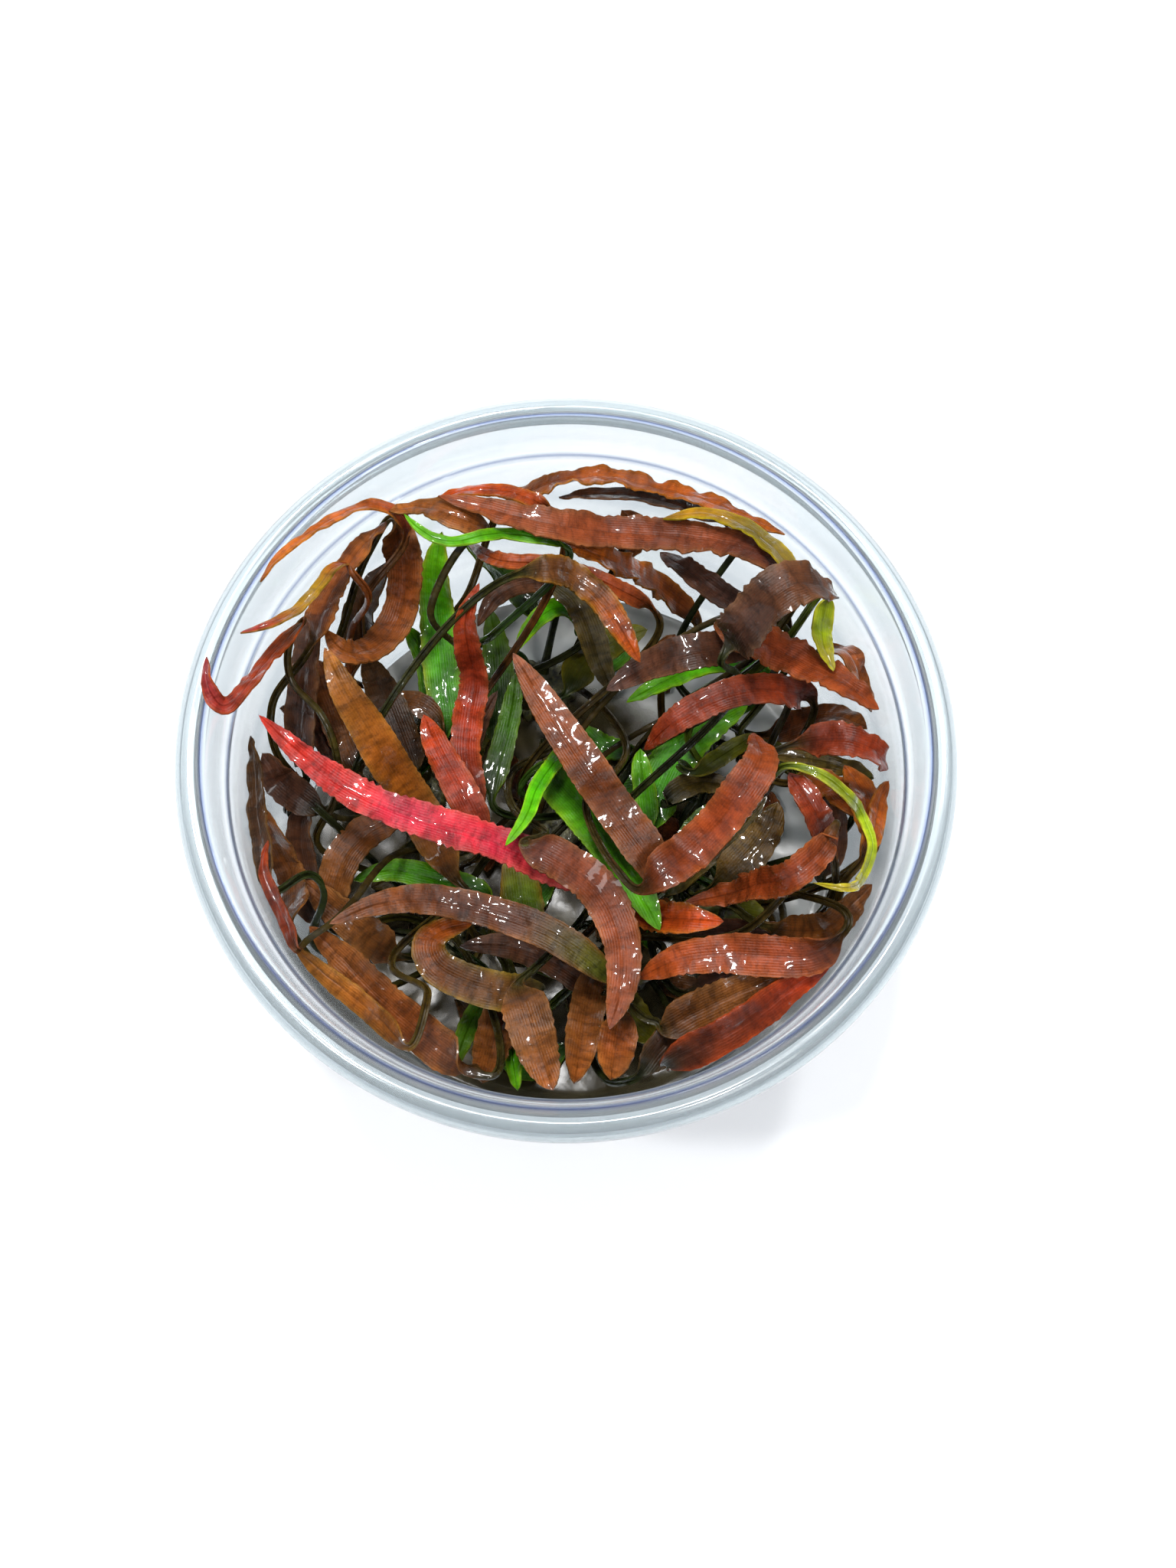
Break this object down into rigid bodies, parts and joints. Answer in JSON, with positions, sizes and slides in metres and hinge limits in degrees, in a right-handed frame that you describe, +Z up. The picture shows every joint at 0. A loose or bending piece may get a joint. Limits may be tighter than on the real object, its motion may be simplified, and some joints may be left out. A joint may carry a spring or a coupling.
{
  "type": "cup of cryptocoryne spiralis plants",
  "caption": "Open round translucent culture cup holding a wreath of narrow ruffled red, brown and green crypt leaves that grow from rootstocks set in clear gel.",
  "frame": {"origin": "centre of the cup's flat underside, on the surface it stands on", "axes": "+Z up along the cup's axis; the picture was taken from the -Y side, looking down"},
  "size_m": [0.1, 0.1, 0.07],
  "materials": {
    "cup_plastic": "translucent moulded polypropylene, satin, slightly frosted",
    "culture_gel": "clear soft culture gel with a wet top, slightly cloudy",
    "young_growth": "wet living rootstock with young green to brown leaves",
    "leaf_brown": "wet living leaf, brown with darker cross bars, glossy",
    "leaf_green": "wet living leaf, green with darker cross bars, glossy",
    "leaf_lime": "wet living leaf, lime with darker cross bars, glossy",
    "leaf_mauve": "wet living leaf, mauve with darker cross bars, glossy",
    "leaf_olive": "wet living leaf, olive with darker cross bars, glossy",
    "leaf_orange": "wet living leaf, orange with darker cross bars, glossy",
    "leaf_pink": "wet living leaf, pink with darker cross bars, glossy",
    "leaf_red": "wet living leaf, red with darker cross bars, glossy",
    "leaf_salmon": "wet living leaf, salmon with darker cross bars, glossy"
  },
  "bodies": {
    "root": {"cup": "cup_plastic", "gel": "culture_gel", "crown_1": "young_growth", "crown_2": "young_growth", "crown_3": "young_growth", "crown_4": "young_growth", "crown_5": "young_growth", "crown_6": "young_growth", "crown_7": "young_growth", "leaf_wall_olive": "leaf_brown", "leaf_left_wall": "leaf_brown", "leaf_left_mauve": "leaf_mauve", "leaf_bottom_right": "leaf_brown", "leaf_right_brown": "leaf_brown", "leaf_top_wall": "leaf_orange", "leaf_top_back": "leaf_orange", "leaf_top_crumpled": "leaf_orange", "leaf_top_red": "leaf_red", "leaf_mauve_flap": "leaf_mauve", "leaf_left_loop": "leaf_brown", "leaf_left_scallop": "leaf_brown", "leaf_long_orange": "leaf_orange", "leaf_red_twist": "leaf_red", "leaf_red_lance": "leaf_red", "leaf_pink": "leaf_pink", "leaf_rim_curl": "leaf_orange", "leaf_rim_olive": "leaf_olive", "leaf_rim_orange": "leaf_orange", "leaf_purple_mid": "leaf_mauve", "leaf_orange_arch": "leaf_orange", "leaf_red_brown": "leaf_red", "leaf_wall_brown": "leaf_brown", "leaf_large_orange": "leaf_orange", "leaf_light_green": "leaf_lime", "leaf_top_tan": "leaf_brown", "leaf_thin_green": "leaf_green", "leaf_top_long": "leaf_red", "leaf_top_olive": "leaf_olive", "leaf_mauve_wide": "leaf_mauve", "leaf_wall_orange": "leaf_orange", "leaf_wall_curl": "leaf_orange", "leaf_wall_red": "leaf_red", "leaf_red_hook": "leaf_red", "leaf_right_red": "leaf_red", "leaf_green_ring": "leaf_lime", "leaf_corner_brown": "leaf_brown", "leaf_corner_red": "leaf_red", "leaf_orange_low": "leaf_orange", "leaf_long_red": "leaf_orange", "leaf_orange_curl": "leaf_orange", "leaf_lower_brown": "leaf_brown", "leaf_lower_orange": "leaf_orange", "leaf_wall_strip": "leaf_red", "leaf_bottom_wide": "leaf_brown", "leaf_salmon_arch": "leaf_salmon", "leaf_broad_green": "leaf_green", "leaf_small_green": "leaf_green", "leaf_central": "leaf_salmon", "leaf_hanging_salmon": "leaf_salmon", "leaf_red_orange": "leaf_salmon"}
  },
  "joints": []
}
